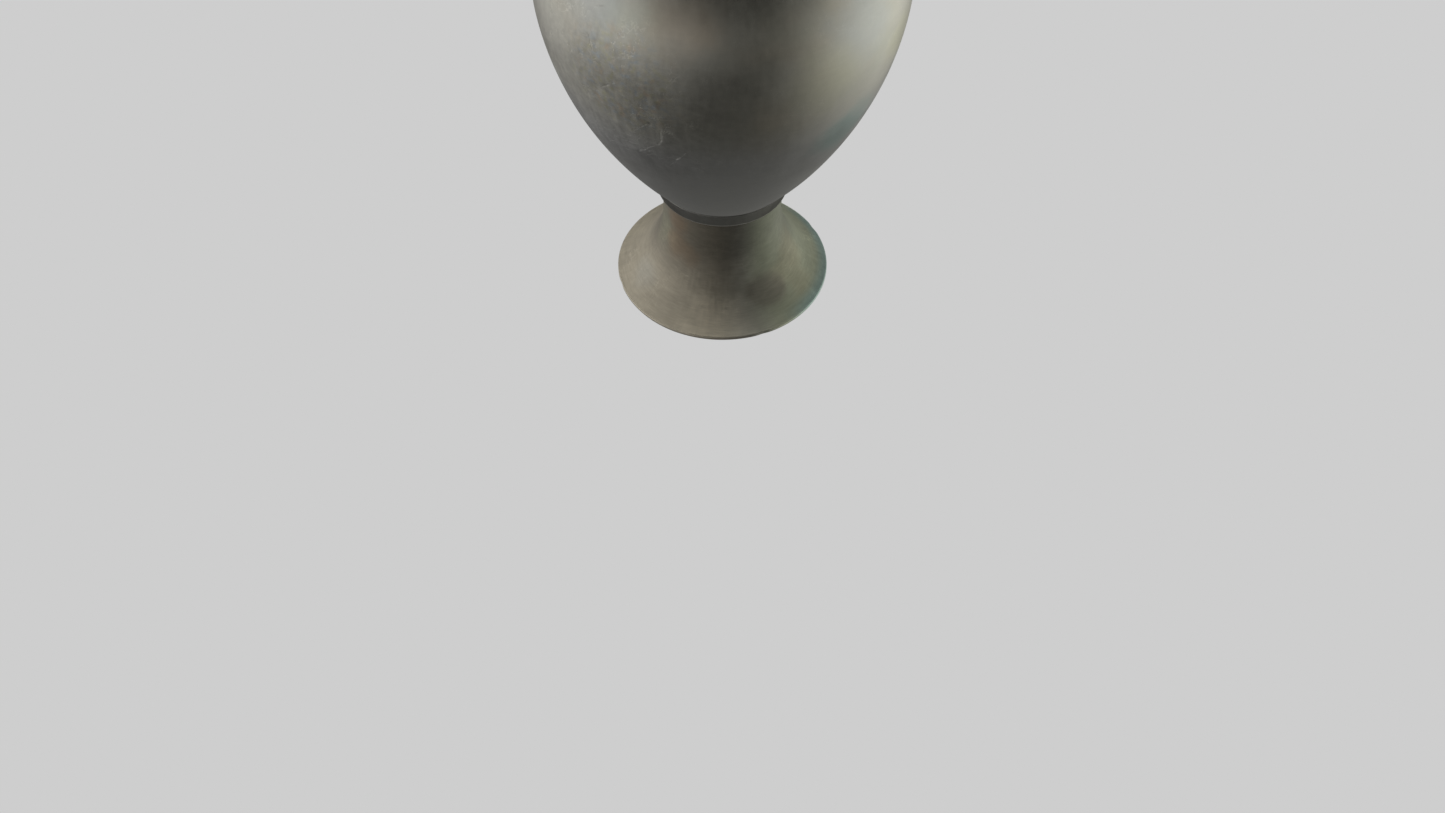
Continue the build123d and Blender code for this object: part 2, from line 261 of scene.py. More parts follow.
def bowl_outline():
    """The bowl's wall and its flat bottom with the rod's hole."""
    outside = bowl_curve()
    floor_inside = bowl_low.z + SHEET
    inside = shell_inside(outside)
    inside[0] = (BELLY_RADIUS - SHEET, BELLY_HEIGHT)
    inside = [point for point in inside if point[1] > floor_inside]
    return join([(ROD_HOLE, bowl_low.z)], outside, inside, [(ROD_HOLE, floor_inside)])


def shoulder_outline():
    """The shoulder's wall and its flat land with the neck's hole."""
    outside = shoulder_curve()
    under = shoulder_high.z - SHEET
    inside = [point for point in shell_inside(outside) if point[1] < under]
    inside.append((BELLY_RADIUS - SHEET, BELLY_HEIGHT))
    return join(outside, [(NECK_HOLE, shoulder_high.z), (NECK_HOLE, under)], inside)


# ---------------------------------------------------------------- neck and lip
def neck_flare(radius, top):
    """The flare of the neck up to a height; radius is that of its arc."""
    centre = (NECK_RADIUS + NECK_FLARE_ARC, NECK_STRAIGHT_TOP)
    rise = top - NECK_STRAIGHT_TOP
    return arc(centre, radius, pi, pi - atan2(rise, sqrt(radius**2 - rise**2)))


def neck_outline():
    """The neck's tube, straight and then flared."""
    outer = neck_flare(NECK_FLARE_ARC, neck_high.z)
    inner = neck_flare(NECK_FLARE_ARC + SHEET, neck_high.z)[::-1]
    return join(line((NECK_RADIUS, neck_low.z), outer[0]), outer, inner, [(NECK_RADIUS - SHEET, neck_low.z)])


def neck_ring_outline():
    """An upright step and a quarter-round over it."""
    low, high, outer = ring_low.z, ring_high.z, ring_high.x
    corner = 0.5 * MM
    return join(
        [(NECK_HOLE, low), (outer - corner, low)],
        arc((outer - corner, low + corner), corner, -pi / 2, 0),
        arc((outer - corner, low + RING_STEP - corner), corner, 0, pi / 2),
        bezier(
            (outer - 2 * corner, low + RING_STEP),
            (outer - 2 * corner, high - 2 * MM),
            (outer - 4 * MM, high),
            (RING_TOP_RADIUS, high),
        ),
        [(NECK_HOLE, high)],
    )


def lip_outline():
    """A rolled lip: a hollow underside, a full outer round and a softly dished top."""
    low, high, outer = lip_low.z, lip_high.z, lip_high.x
    seat_outer = neck_flare(NECK_FLARE_ARC, low)[-1][0]
    seat_inner = neck_flare(NECK_FLARE_ARC + SHEET, low)[-1][0]
    roll = (high - low) * 0.33
    inner_round = 2.2 * MM
    return join(
        [(seat_inner, low), (seat_outer, low)],
        bezier(
            (seat_outer, low),
            (seat_outer + 3 * MM, low + 1.5 * MM),
            (outer - roll * 0.6, high - 2.4 * roll),
            (outer - roll * 0.28, high - 1.72 * roll),
        ),
        arc((outer - roll, high - roll), roll, radians(-44), radians(90)),
        arc((seat_inner + inner_round, high - inner_round), inner_round, pi / 2, pi),
    )


# ---------------------------------------------------------------- places on the vessel
def on_vessel(bearing, radius, height):
    """A place on the vessel; its bearing is in degrees to the right of the front."""
    turn = radians(bearing)
    return Vector((radius * sin(turn), -radius * cos(turn), height))


def on_foot(bearing, radius, rise):
    """A place on the foot: its radius and its rise over the lower edge, both in millimetres."""
    return on_vessel(bearing, radius * MM, foot_low.z + rise * MM)


def on_body(bearing, rise):
    """A place on the body, so many millimetres above the belly or, if negative, below it."""
    height = BELLY_HEIGHT + rise * MM
    curve = bowl_curve() if rise < 0 else shoulder_curve()
    return on_vessel(bearing, min(curve, key=lambda point: abs(point[1] - height))[0], height)


# ---------------------------------------------------------------- dents and marks
BRUISE_BEARING = -39.0
BRUISE = on_body(BRUISE_BEARING, -26)  # middle of the broad, handled flat on the left
BRUISE_RADIUS = 35.0 * MM
LEDGE_DEPTH = 0.22 * MM  # how far the flat's lower right edge sinks
PIT = on_body(-22.5, -28)  # a small dark hole in the skin

# Fine cuts in the skin: both ends, and how much lighter (or darker) the metal shows there.
CUTS = (
    # the nick to the lower right of the flat, bright in its middle
    (on_body(-18.2, -62), on_body(-14.4, -53.2), 0.28),
    (on_body(-15.6, -55), on_body(-13.6, -52), 1.00),
    (on_body(-14.4, -53.2), on_body(-11.5, -46.4), 0.28),
    # hairlines inside the flat and over it
    (on_body(-29.5, -39), on_body(-26.0, -33.5), 0.20),
    (on_body(-26.0, -33.5), on_body(-22.8, -27.5), 0.20),
    (on_body(-36.0, -52), on_body(-27.0, -49), 0.12),
    (on_body(-38.5, -46), on_body(-30.0, -44), 0.10),
    (on_body(-40.5, -59), on_body(-29.0, -56.5), 0.14),
    (on_body(-42.0, 16), on_body(-40.2, 8), -0.16),
    (on_body(-40.8, 5), on_body(-37.8, 2), -0.20),
    (on_body(-38.8, -15), on_body(-32.0, -5), 0.14),
    (on_body(-41.0, 31), on_body(-37.5, 33), -0.14),
    # sides and back
    (on_body(71, -12), on_body(75, -25), 0.25),
    (on_body(139, 14), on_body(146, 8), 0.30),
    (on_body(172, -39), on_body(165, -46), 0.35),
    (on_body(-131, -15), on_body(-126, -24), 0.30),
)

# Broad patches where the metal is darker or lighter, those on the upper front painted shade: place, reach in
# millimetres, change.
BODY_TONE_AND_SHADE_PATCHES = (
    # upper front: painted shade at the top and in the middle below, with a lighter band between
    (on_body(4, 52), 29.0, -0.23),
    (on_body(-14, 45), 23.0, -0.15),
    (on_body(28, 47), 24.0, -0.10),
    (on_body(-7, 30), 20.0, 0.12),
    (on_body(-4, 7), 17.0, -0.10),
    # left
    (on_body(-22, -18), 26.0, -0.09),
    (on_body(-34, 6), 26.0, -0.07),
    (on_body(-43, -1), 25.0, -0.06),
    (on_body(-31, -64), 30.0, -0.08),
    (on_body(-5, -22), 20.0, -0.06),
    # right
    (on_body(61, -19), 27.0, 0.12),
    (on_body(43, -70), 36.0, -0.22),
    (on_body(47, -52), 22.0, -0.10),
    # back
    (on_body(112, 30), 40.0, -0.08),
    (on_body(-150, -30), 45.0, 0.06),
)

# Dents: where they are, how far they reach and how deep they are.
DENTS = (
    (BRUISE, BRUISE_RADIUS, 0.40 * MM),
    # in the flat and round it
    (on_body(-43, 0), 8 * MM, 0.22 * MM),
    (on_body(-40, -16), 5 * MM, 0.28 * MM),
    (on_body(-45, -24), 6 * MM, 0.20 * MM),
    (on_body(-38, -32), 7 * MM, 0.18 * MM),
    (on_body(-33, -43), 6 * MM, 0.16 * MM),
    (PIT, 3 * MM, 0.16 * MM),
    (on_body(-25, -12), 11 * MM, 0.18 * MM),
    # sides and back
    (on_body(84, -20), 16 * MM, 0.35 * MM),
    (on_body(128, 12), 9 * MM, 0.25 * MM),
    (on_body(163, -48), 20 * MM, 0.45 * MM),
    (on_body(-158, -8), 13 * MM, 0.30 * MM),
    (on_body(-112, -34), 17 * MM, 0.40 * MM),
    (on_body(-84, 18), 8 * MM, 0.22 * MM),
)
# The same for the foot's rim.
FOOT_DINGS = tuple(
    (on_vessel(bearing, FOOT_RADIUS, 2 * MM), 5 * MM, 0.35 * MM) for bearing in (-74, 22, 118, 201)
)


def soft_step(value, low, high):
    """0 below low, 1 above high, smooth between; high may be the smaller one."""
    share = min(max((value - low) / (high - low), 0.0), 1.0)
    return share * share * (3 - 2 * share)


def below_right(place):
    """How far a place lies to the lower right of the bruise's middle, in metres."""
    turn = radians(BRUISE_BEARING)
    away = place - BRUISE
    return (away.x * cos(turn) + away.y * sin(turn)) * 0.75 - away.z * 0.65


def pressed(place, dents):
    """Sum of the dents at a place, as a change of radius."""
    change = 0.0
    for centre, reach, depth in dents:
        share = (place - centre).length / reach
        if share < 1:
            change -= depth * (1 - share * share) ** 2
    return change


def uneven(place, size, amount):
    """The slow unevenness of sheet spun by hand."""
    return amount * noise.noise(place / size)


def body_shape(angle, r, z):
    """Dents and unevenness of the bowl and the shoulder, none where other pieces are seated."""
    seats = soft_step(z, collar_high.z + 2 * MM, collar_high.z + 16 * MM)
    seats *= soft_step(z, BELLY_HEIGHT + 48 * MM, BELLY_HEIGHT + 30 * MM)
    if seats == 0:
        return 0.0
    place = Vector((r * cos(angle), r * sin(angle), z))
    change = pressed(place, DENTS) + uneven(place, 60 * MM, 0.25 * MM) + uneven(place, 14 * MM, 0.03 * MM)
    away = (place - BRUISE).length / BRUISE_RADIUS
    if 0.3 < away < 1:
        side = soft_step(below_right(place), 6 * MM, 24 * MM)
        change -= LEDGE_DEPTH * side * soft_step(away, 0.3, 0.8) * soft_step(away, 1.0, 0.93)
    return change * seats


def foot_shape(angle, r, z):
    """Unevenness of the foot and dings in its rim."""
    place = Vector((r * cos(angle), r * sin(angle), z))
    seats = soft_step(z, foot_high.z - 4 * MM, foot_high.z - 16 * MM)
    return (pressed(place, FOOT_DINGS) + uneven(place, 45 * MM, 0.12 * MM)) * seats


def lip_shape(angle, r, z):
    """Slight waves in the rolled lip."""
    return uneven(Vector((r * cos(angle), r * sin(angle), z)), 30 * MM, 0.15 * MM)


# ---------------------------------------------------------------- pieces
# Each lathed piece under the name of the CAD node it stands for.
pieces = {
    "foot": lathe("foot_shell", foot_outline(), "foot", foot_shape),
    "collar": lathe("collar_band", collar_outline(), "collar"),
    "lower_body": lathe("bowl_shell", bowl_outline(), "lower_body", body_shape),
    "shoulder": lathe("shoulder_shell", shoulder_outline(), "shoulder", body_shape),
    "neck": lathe("neck_tube", neck_outline(), "neck"),
    "neck_ring": lathe("neck_moulding", neck_ring_outline(), "neck_ring"),
    "lip": lathe("rolled_lip", lip_outline(), "lip", lip_shape),
}


# ---------------------------------------------------------------- patterns
def feed(tree, value, socket):
    """Gives an input a number, a colour, a pattern or another node's output."""
    if isinstance(value, Pattern):
        value = value.socket
    if isinstance(value, bpy.types.NodeSocket):
        tree.links.new(value, socket)
    else:
        socket.default_value = value


def vector_math(tree, operation, first, second):
    """The output of a vector node; SCALE takes a number as its second."""
    node = tree.nodes.new("ShaderNodeVectorMath")
    node.operation = operation
    feed(tree, first, node.inputs[0])
    feed(tree, second, node.inputs["Scale" if operation == "SCALE" else 1])
    return node.outputs["Value" if operation == "DOT_PRODUCT" else "Vector"]


class Pattern:
    """A number that varies from place to place; arithmetic on it adds nodes to its material."""

    def __init__(self, tree, socket):
        self.tree = tree
        self.socket = socket

    def math(self, operation, *others):
        """One arithmetic node, with this number as its first."""
        node = self.tree.nodes.new("ShaderNodeMath")
        node.operation = operation
        for value, socket in zip((self, *others), node.inputs):
            feed(self.tree, value, socket)
        return Pattern(self.tree, node.outputs[0])

    def __add__(self, other):
        return self.math("ADD", other)

    def __mul__(self, other):
        return self.math("MULTIPLY", other)

    def __sub__(self, other):
        return self.math("SUBTRACT", other)

    def __truediv__(self, other):
        return self.math("DIVIDE", other)

    def __rsub__(self, other):
        return self * -1.0 + other

    __radd__ = __add__
    __rmul__ = __mul__

    def step(self, low, high):
        """0 below low, 1 above high and soft between; high may be the smaller one."""
        node = self.tree.nodes.new("ShaderNodeMapRange")
        node.interpolation_type = "SMOOTHSTEP"
        for value, name in ((self, "Value"), (low, "From Min"), (high, "From Max")):
            feed(self.tree, value, node.inputs[name])
        return Pattern(self.tree, node.outputs[0])


class Finish:
    """A material under construction. Its places x, y, z and r (from the axis) are millimetres."""

    def __init__(self, name, metallic=1.0):
        self.material = bpy.data.materials.new(name)
        self.material.use_nodes = True
        self.tree = self.material.node_tree
        self.shader = self.tree.nodes["Principled BSDF"]
        self.shader.inputs["Metallic"].default_value = metallic
        place = self.tree.nodes.new("ShaderNodeTexCoord").outputs["Object"]
        split = self.tree.nodes.new("ShaderNodeSeparateXYZ")
        self.tree.links.new(place, split.inputs[0])
        self.x, self.y, self.z = (Pattern(self.tree, socket) * (1 / MM) for socket in split.outputs)
        self.r = (self.x * self.x + self.y * self.y).math("SQRT")
        # The outward direction; the small addition keeps it finite on the axis.
        self.around_x = self.x / (self.r + 0.01)
        self.around_y = self.y / (self.r + 0.01)
        self.wander = self.clouds(13.0, 61.0, 3.0)

    def noise(self, x, y, z, detail=2.0):
        """Soft clouds between about -0.5 and 0.5, one unit across in each direction."""
        place = self.tree.nodes.new("ShaderNodeCombineXYZ")
        for value, socket in zip((x, y, z), place.inputs):
            feed(self.tree, value, socket)
        clouds = self.tree.nodes.new("ShaderNodeTexNoise")
        clouds.inputs["Scale"].default_value = 1.0
        clouds.inputs["Detail"].default_value = detail
        self.tree.links.new(place.outputs[0], clouds.inputs["Vector"])
        return Pattern(self.tree, clouds.outputs[0]) - 0.5

    def clouds(self, size, seed=0.0, detail=2.0):
        """Clouds of one size in every direction."""
        return self.noise(self.x / size + seed, self.y / size, self.z / size, detail)

    def rings(self, slant, width, wander=4.0):
        """Fine turning lines, long round the axis and width across.

        slant adds radius to height, so that they don't spread where the surface lies flatter.
        """
        along = (self.z + self.r * slant) / (width * 1.4)
        return self.noise(self.around_x * wander, self.around_y * wander, along)

    def streaks(self, count, length, seed=0.0):
        """Upright streaks, about count of them round the axis."""
        ways = count / (2 * pi)
        return self.noise(self.around_x * ways + seed, self.around_y * ways, self.z / length, 3.0)

    def hairs(self, size, thin, seed=0.0):
        """Thin, wandering scratches: where soft clouds cross zero."""
        lines = self.clouds(size, seed, 3.0).math("ABSOLUTE").step(thin, thin * 0.3)
        return lines * self.clouds(size * 2.2, seed + 5.0).step(-0.02, 0.12)

    def near(self, point):
        """Distance from a point, in millimetres."""
        away = [own - p / MM for own, p in zip((self.x, self.y, self.z), point)]
        return (away[0] * away[0] + away[1] * away[1] + away[2] * away[2]).math("SQRT")

    def patch(self, point, reach):
        """A soft patch with a wandering edge: 1 in its middle, 0 out of its reach."""
        return (self.near(point) + self.wander * (reach * 0.75)).step(reach, reach * 0.25)

    def patched(self, tone, patches):
        """A tone made duller or brighter in patches, each a place, a reach and a change."""
        for place, reach, change in patches:
            tone = tone * (self.patch(place, reach) * change + 1.0)
        return tone

    def tinted(self, colour, tints):
        """A colour with stains over it, each a place, a reach, a strength and a colour."""
        for place, reach, share, tint in tints:
            colour = self.blend(self.patch(place, reach) * share, colour, tint)
        return colour

    def blend(self, share, first, second):
        """A colour between two; share 0 is the first."""
        node = self.tree.nodes.new("ShaderNodeMix")
        node.data_type = "RGBA"
        node.clamp_factor = True
        sockets = {socket.identifier: socket for socket in node.inputs}
        feed(self.tree, share, sockets["Factor_Float"])
        for colour, name in ((first, "A_Color"), (second, "B_Color")):
            feed(self.tree, (*colour, 1.0) if isinstance(colour, tuple) else colour, sockets[name])
        return next(socket for socket in node.outputs if socket.identifier == "Result_Color")

    def shade(self, colour, amount):
        """A colour made lighter or darker by a pattern."""
        return vector_math(self.tree, "SCALE", colour, amount)

    def done(self, colour, roughness, height):
        """Feeds the shader; height is the relief in millimetres."""
        bump = self.tree.nodes.new("ShaderNodeBump")
        bump.inputs["Distance"].default_value = MM
        feed(self.tree, height, bump.inputs["Height"])
        feed(self.tree, colour, self.shader.inputs["Base Color"])
        feed(self.tree, roughness, self.shader.inputs["Roughness"])
        self.tree.links.new(bump.outputs[0], self.shader.inputs["Normal"])
        return self.material


# ---------------------------------------------------------------- materials
PEWTER = (0.445, 0.435, 0.392)
UMBER = (0.462, 0.430, 0.368)
SAGE = (0.425, 0.445, 0.385)
BEIGE = (0.470, 0.430, 0.350)
BROWN = (0.510, 0.390, 0.275)
OLIVE = (0.415, 0.445, 0.335)
TEAL = (0.315, 0.430, 0.415)
SLATE = (0.395, 0.425, 0.440)
GREY = (0.432, 0.432, 0.436)
STRAW = (0.450, 0.440, 0.330)

# Stains of the body: place, reach in millimetres, strength and colour.
BODY_TINTS = (
    (on_body(-12, 36), 28.0, 0.28, BROWN),
    (on_body(-42, 33), 24.0, 0.45, SLATE),
    (on_body(45, 20), 30.0, 0.5, SLATE),
    (on_body(31, -4), 28.0, 0.4, STRAW),
    (on_body(66, -12), 20.0, 0.6, STRAW),
    (on_body(46, -54), 27.0, 0.75, TEAL),
    (on_body(150, 8), 34.0, 0.4, BROWN),
    (on_body(-118, -44), 30.0, 0.4, STRAW),
)

# The same for the foot, and its duller and brighter patches.
FOOT_TINTS = (
    (on_foot(-72, 36, 44), 20.0, 0.80, STRAW),
    (on_foot(-48, 34, 56), 13.0, 0.75, BROWN),
    (on_foot(-49, 35.5, 40), 14.0, 0.60, BROWN),
    (on_foot(-31, 35.5, 36), 9.0, 0.40, BROWN),
    (on_foot(75, 40, 25), 17.0, 0.90, STRAW),
    (on_foot(50, 43, 19), 12.0, 0.80, STRAW),
    (on_foot(62, 51, 10), 13.0, 0.60, STRAW),
    (on_foot(-67, 48, 12), 14.0, 0.50, PEWTER),
    (on_foot(170, 46, 14), 22.0, 0.50, BROWN),
)
FOOT_PATCHES = (
    (on_foot(-6, 60, 4), 31.0, 0.46),
    (on_foot(2, 37, 33), 20.0, 0.14),
    (on_foot(19, 37.5, 31), 14.0, 0.25),
    (on_foot(22, 44, 18), 11.0, 0.10),
    (on_foot(60, 43, 20), 16.0, -0.16),
    (on_foot(-33, 36, 38), 15.0, -0.08),
    (on_foot(-72, 36, 44), 20.0, 0.22),
    (on_foot(-8, 34, 56), 14.0, 0.14),
    (on_foot(-48, 50, 11), 22.0, -0.08),
    (on_foot(25, 60, 3), 16.0, 0.10),
)
# The dark smudge on the flare is an oval round these two places.
SMUDGE = (on_foot(22, 44, 18), on_foot(46, 47, 14))


def patina(finish):
    """The metal's colour with slow drifts to umber and to sage."""
    warm = finish.clouds(46, 3.0).step(-0.02, 0.30)
    cold = finish.clouds(58, 11.0).step(0.0, 0.30)
    return finish.blend(cold, finish.blend(warm, PEWTER, UMBER), SAGE)


def spun(finish, slant, lines, rubbed):
    """Tone, relief and dullness of spun sheet: turning lines, streaks, stains, scratches and grain."""
    coarse = finish.rings(slant, 2.2)
    fine = finish.rings(slant, 0.7, 9.0)
    streaks = finish.streaks(190, 13.0)
    stains = finish.clouds(17, detail=4.0)
    grain = finish.clouds(3.4, 5.0, 4.0)
    hairs = finish.hairs(7.0, 0.016, 21.0)
    marks = streaks * 0.36 + stains * 0.28 + grain * 0.44 + hairs * 0.22
    tone = (coarse * 0.16 + fine * 0.16) * lines + marks * (rubbed * 0.9 + 0.3) + 1.0
    height = (coarse * 0.030 + fine * 0.012) * lines + stains * 0.12
    height = height + (grain * 0.10 + streaks * 0.030 - hairs * 0.040) * (rubbed * 0.9 + 0.1)
    return tone, height, stains * 0.16 + streaks * 0.10 + grain * 0.08


def edge_of_flat(finish, away):
    """The bright crescent at the flat's lower right edge, and the paler metal inside it."""
    turn = radians(BRUISE_BEARING)
    across = (finish.x - BRUISE.x / MM) * cos(turn) + (finish.y - BRUISE.y / MM) * sin(turn)
    side = across * 0.62 - (finish.z - BRUISE.z / MM) * 0.78
    reach = BRUISE_RADIUS / MM
    wander = finish.clouds(11.0, 17.0) * 7.0
    edge = (away + wander - reach).math("ABSOLUTE").step(0.9, 0.1)
    crescent = edge * side.step(20.0, 31.0) * finish.clouds(6.0, 31.0).step(-0.12, 0.14)
    return crescent, away.step(reach, reach - 4.0) * side.step(4.0, 24.0)


def fine_cuts(finish):
    """For each cut, its line as a pattern and how much lighter the metal is there."""
    worn_through = finish.clouds(2.5, 13.0).step(-0.20, 0.10)
    for start, end, change in CUTS:
        length = (start - end).length / MM
        apart = ((finish.near(start) + finish.near(end) - length) * (length / 2)).math("SQRT")
        yield apart.step(0.75, 0.20) * worn_through, change


def tarnished(finish, colour, where):
    """A colour with small spots of straw, slate and brown where the skin is worn."""
    spots = finish.clouds(4.0, 41.0, 4.0)
    broader = finish.clouds(7.0, 53.0, 3.0)
    colour = finish.blend(spots.step(0.02, 0.20) * where * 0.9, colour, STRAW)
    colour = finish.blend(spots.step(-0.02, -0.20) * where * 0.9, colour, SLATE)
    return finish.blend(broader.step(0.04, 0.22) * where * 0.5, colour, BROWN)


def body_metal():
    """The bowl, the shoulder, the neck and the lip, with the marks of handling."""
    finish = Finish("body_metal")
    away = finish.near(BRUISE)
    worn_back = finish.clouds(70, 7.0).step(0.02, 0.25) * finish.around_y.step(-0.3, 0.3)
    rubbed = away.step(80.0, 25.0).math("MAXIMUM", worn_back)
    tone, height, dull = spun(finish, 1.0, 0.4, rubbed)
    crescent, inside = edge_of_flat(finish, away)
    tone = tone + crescent * 0.50 + inside * 0.14
    height = height - crescent * 0.10
    for cut, change in fine_cuts(finish):
        tone = tone + cut * change
        height = height - cut * 0.05
    pit = finish.near(PIT).step(1.8, 0.5)
    # The patches on the upper front are painted shade.
    tone = finish.patched(tone * (1.0 - pit * 0.35), BODY_TONE_AND_SHADE_PATCHES)
    height = height - pit * 0.1
    belly = BELLY_HEIGHT / MM
    lower_bowl = finish.z.step(belly - 22, belly - 62)
    colour = finish.tinted(finish.blend(lower_bowl * 0.9, patina(finish), GREY), BODY_TINTS)
    worn = finish.near(on_body(-31, -6)).step(42.0, 16.0) + worn_back * 0.7
    return finish.done(finish.shade(tarnished(finish, colour, worn), tone), dull + 0.38, height)


def foot_metal():
    """The foot: painted shade at the stem, beige to the left, olive to the right and teal at the rim there.
    """
    finish = Finish("foot_metal")
    rubbed = finish.clouds(40, 7.0).step(-0.10, 0.20)
    tone, height, dull = spun(finish, -1.0, 1.6, rubbed)
    stem, rim = STEM_RADIUS / MM, FOOT_RADIUS / MM
    colour = finish.blend(finish.around_x.step(0.50, -0.20), PEWTER, BEIGE)
    colour = finish.blend(finish.around_x.step(0.20, 0.65) * 0.8, colour, OLIVE)
    colour = finish.tinted(colour, FOOT_TINTS)
    teal = finish.around_x.step(0.55, 0.85) * finish.r.step(rim - 8, rim - 1)
    colour = finish.blend(teal * 0.85, colour, TEAL)
    smudge = (finish.near(SMUDGE[0]) + finish.near(SMUDGE[1])).step(33.0, 20.0)
    colour = finish.blend(smudge * 0.7, colour, UMBER)
    back = finish.around_y.step(-0.10, 0.45)
    # Painted shade: the tone darkens towards the stem, where the body overhangs it.
    stem_shade = finish.r.step(stem + 13, stem + 1)
    worn = finish.r.step(rim - 1.2, rim - 0.3)
    tone = tone * (1.0 - stem_shade * 0.45) * (1.0 - smudge * 0.32) * (back * 0.25 + 0.86)
    tone = finish.patched(tone, FOOT_PATCHES) + worn * 0.15
    return finish.done(finish.shade(colour, tone), dull + 0.55 - worn * 0.2, height)


def collar_metal():
    """The darker bands and mouldings, with a painted highlight along the collar's lower edge and painted
    shade at the band's left and right ends.
    """
    finish = Finish("collar_metal")
    tone, height, dull = spun(finish, 0.3, 1.0, 0.2)
    # Painted highlight along the collar's lower edge; painted shade at the band's left and right ends.
    worn = finish.z.step(collar_low.z / MM + 1.3, collar_low.z / MM + 0.5)
    sides = finish.around_x.math("ABSOLUTE").step(0.40, 0.90)
    tone = tone * (worn + 0.70) * (1.0 - sides * 0.40)
    colour = finish.shade(finish.blend(0.5, patina(finish), GREY), tone)
    finish.shader.inputs["Specular Tint"].default_value = (0.35, 0.35, 0.34, 1.0)  # no bright edges
    return finish.done(colour, dull + 0.50, height)


def cast_metal():
    """Handles and rivets: coarser than sheet, dark in the pores, polished where a hand holds."""
    finish = Finish("cast_metal")
    skin = finish.clouds(2.4, detail=4.0)
    stains = finish.clouds(14, 2.0, 4.0)
    held = finish.r.step(66.0, 90.0)
    pores = finish.clouds(1.1, 9.0, 2.0).step(-0.18, -0.30)
    tone = skin * 0.18 + stains * 0.30 + held * 0.12 - pores * 0.25 + 0.88
    roughness = stains * 0.2 - held * 0.07 + 0.44
    return finish.done(finish.shade(patina(finish), tone), roughness, skin * 0.06 - pores * 0.04)


def steel():
    """Zinc-plated fasteners with a turned thread on the rod's diameter."""
    finish = Finish("zinc_steel")
    bloom = finish.clouds(3.0, detail=3.0)
    turn = finish.y.math("ARCTAN2", finish.x) / (2 * pi)
    thread = ((finish.z - turn) * (2 * pi)).math("SINE") * finish.r.step(3.3, 2.9)
    colour = finish.shade((0.58, 0.59, 0.60), 1.0 + bloom * 0.3 + thread * 0.1)
    return finish.done(colour, 0.34 + bloom * 0.2, thread * 0.18 + bloom * 0.01)


def solder():
    """The grey joint ring inside the belly."""
    finish = Finish("solder")
    bloom = finish.clouds(5.0, detail=4.0)
    return finish.done(finish.shade((0.42, 0.41, 0.39), 1.0 + bloom * 0.4), 0.5 + bloom * 0.2, bloom * 0.2)


def rubber():
    """The sealing washer."""
    finish = Finish("rubber", metallic=0.0)
    dust = finish.clouds(1.2, detail=4.0)
    return finish.done(finish.shade((0.022, 0.021, 0.020), 1.0 + dust), 0.75 + dust * 0.2, dust * 0.04)


def felt():
    """Pressed wool under the foot: short fibres lying every way."""
    finish = Finish("felt", metallic=0.0)
    fibres = finish.noise(finish.x * 3.0, finish.y * 0.5, finish.z, 4.0)
    across = finish.noise(finish.x * 0.5, finish.y * 3.0, finish.z, 4.0)
    tufts = finish.clouds(4.0, detail=3.0)
    tone = 1.0 + fibres * 0.8 + across * 0.8 + tufts * 0.5
    return finish.done(finish.shade((0.030, 0.042, 0.032), tone), 0.95 + tufts * 0.1, (fibres + across) * 0.4)


# Each finish with its nodes.
FINISHES = (
    (body_metal(), ("lower_body", "shoulder", "neck", "lip")),
    (foot_metal(), ("foot",)),
    (collar_metal(), ("collar", "neck_ring", "neck_band")),
    (cast_metal(), ("handle_left", "handle_right", "handle_rivets")),
    (steel(), ("base_plate", "tie_rod", "top_nut", "bottom_nut", "bottom_washer")),
    (solder(), ("seam_ring",)),
    (rubber(), ("seal_washer",)),
    (felt(), ("felt_pad",)),
)
# The body doesn't mirror these, so the soft light from below reaches it past them.
UNMIRRORED = ("foot", "collar", "base_plate", "felt_pad", "tie_rod", "bottom_nut", "bottom_washer")
shown = {**frame["nodes"], **pieces}
for material, nodes in FINISHES:
    for node in nodes:
        shown[node].data.materials.clear()
        shown[node].data.materials.append(material)
for node in UNMIRRORED:
    shown[node].visible_glossy = False

# ---------------------------------------------------------------- stage, light and camera
PALE = 0.617  # the plain grey of the floor and the background
FLOOR_HALF = 3.0  # from the middle of the floor to its edge
CAMERA_PITCH = radians(49.364)  # looking down
CAMERA_BACK = 0.8431  # from the axis
CAMERA_UP = 0.8524  # from the floor
SOFTNESS = 12.0  # how tightly a light keeps to its own direction
POWER = 0.86  # of the whole rig
LEFT_TINT = (1.01, 1.0, 0.975)
RIGHT_TINT = (1.0, 1.0, 0.93)
# Strength of each soft light, by its height and then its bearing from the front, both in degrees.
# Bearings go to the right, so those over 180 stand on the left.
LIGHTS = {
    90: {0: 1.0},
    60: {120: 0.9, 240: 1.1},
    30: {180: 0.3, 240: 0.8, 280: 0.45},
    0: {0: 0.13, 60: 0.4, 90: 0.75, 120: 0.65, 180: 0.3, 240: 0.85, 270: 0.5, 300: 0.85, 330: 0.35},
    -30: {40: 0.06, 80: 0.8, 120: 1.2, 240: 0.65, 280: 0.45, 320: 0.1},
    -60: {0: 0.045, 180: 0.12},
    -90: {0: 0.12},
}


def soft_light(tree, direction, toward, strength, tint):
    """The colour that one light adds in a direction."""
    facing = Pattern(tree, vector_math(tree, "DOT_PRODUCT", direction, toward))
    glow = ((facing - 1.0) * SOFTNESS).math("EXPONENT")
    return vector_math(tree, "SCALE", tint, glow * strength)


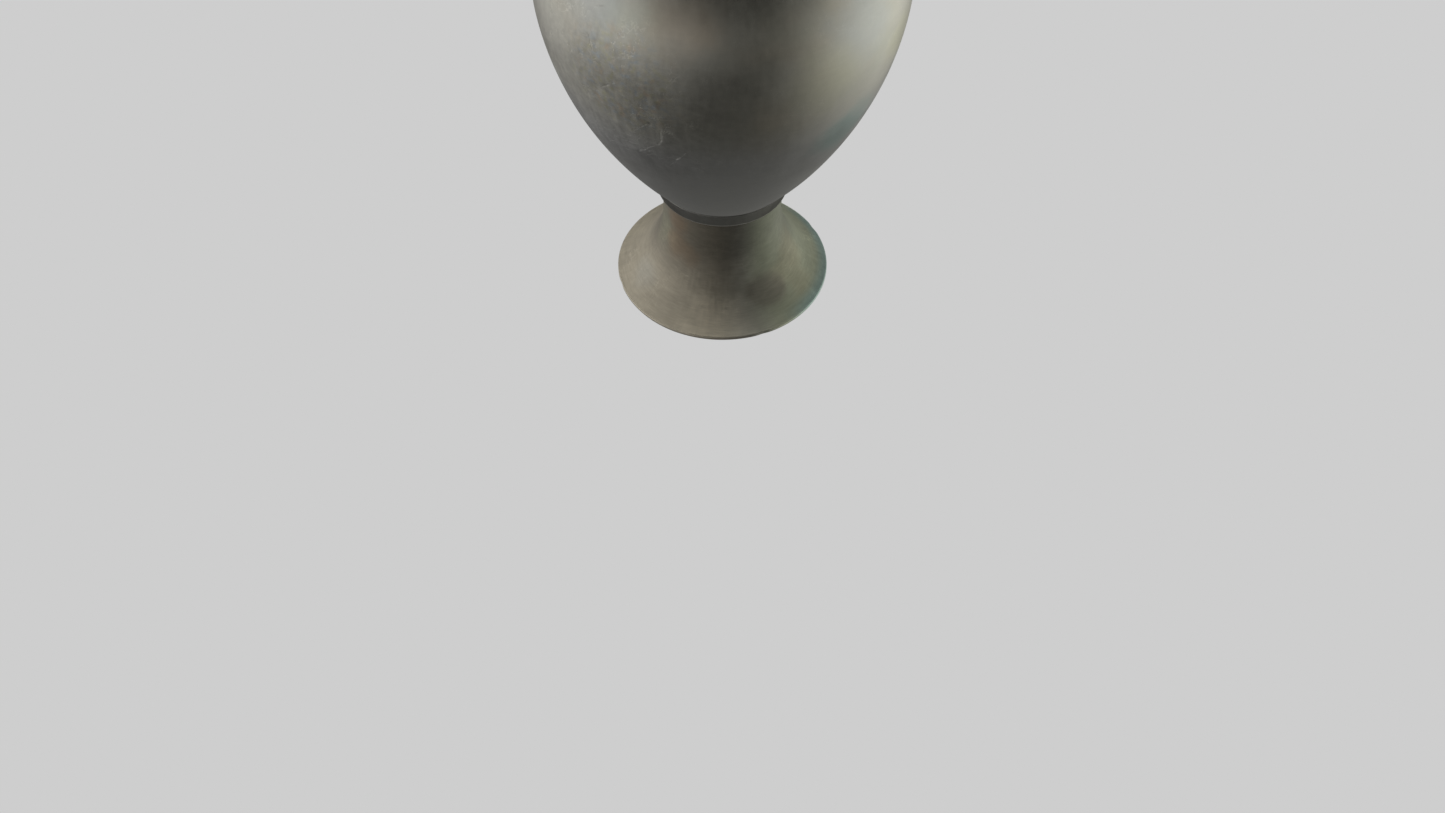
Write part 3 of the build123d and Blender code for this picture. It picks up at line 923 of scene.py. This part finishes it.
def studio():
    """Soft lights all round for the object, and plain grey for the camera."""
    world = bpy.data.worlds.new("studio")
    bpy.context.scene.world = world
    world.use_nodes = True
    tree = world.node_tree
    tree.nodes.clear()
    direction = tree.nodes.new("ShaderNodeTexCoord").outputs["Generated"]
    total = (0.0, 0.0, 0.0)
    for height, ring in LIGHTS.items():
        for bearing, strength in ring.items():
            up, turn = radians(height), radians(bearing)
            toward = (sin(turn) * cos(up), -cos(turn) * cos(up), sin(up))
            tint = LEFT_TINT if bearing > 180 else RIGHT_TINT
            light = soft_light(tree, direction, toward, strength * POWER, tint)
            total = vector_math(tree, "ADD", total, light)
    lights = tree.nodes.new("ShaderNodeBackground")
    feed(tree, total, lights.inputs["Color"])
    seen = tree.nodes.new("ShaderNodeBackground")
    seen.inputs["Color"].default_value = (PALE, PALE, PALE, 1)
    mix = tree.nodes.new("ShaderNodeMixShader")
    feed(tree, tree.nodes.new("ShaderNodeLightPath").outputs["Is Camera Ray"], mix.inputs[0])
    feed(tree, lights.outputs[0], mix.inputs[1])
    feed(tree, seen.outputs[0], mix.inputs[2])
    feed(tree, mix.outputs[0], tree.nodes.new("ShaderNodeOutputWorld").inputs[0])


def floor():
    """A plain pale floor, evenly lit, that throws no shade back on the object."""
    mesh = bpy.data.meshes.new("floor")
    corners = [(x * FLOOR_HALF, y * FLOOR_HALF, 0) for x, y in ((-1, -1), (1, -1), (1, 1), (-1, 1))]
    mesh.from_pydata(corners, [], [(0, 1, 2, 3)])
    plane = added("floor", mesh)
    plane.visible_diffuse = False
    plane.visible_glossy = False
    plane.visible_shadow = False
    material = bpy.data.materials.new("floor")
    material.use_nodes = True
    tree = material.node_tree
    tree.nodes.clear()
    glow = tree.nodes.new("ShaderNodeEmission")
    glow.inputs["Color"].default_value = (PALE, PALE, PALE, 1)
    feed(tree, glow.outputs[0], tree.nodes.new("ShaderNodeOutputMaterial").inputs[0])
    mesh.materials.append(material)


def camera():
    """A 50 mm lens before the front, looking down."""
    data = bpy.data.cameras.new("camera")
    data.lens = 50.0
    data.sensor_width = 36.0
    eye = added("camera", data)
    eye.location = (0, -CAMERA_BACK, CAMERA_UP)
    eye.rotation_euler = Euler((pi / 2 - CAMERA_PITCH, 0, 0))
    bpy.context.scene.camera = eye


studio()
floor()
camera()
bpy.context.scene.view_settings.view_transform = "Standard"
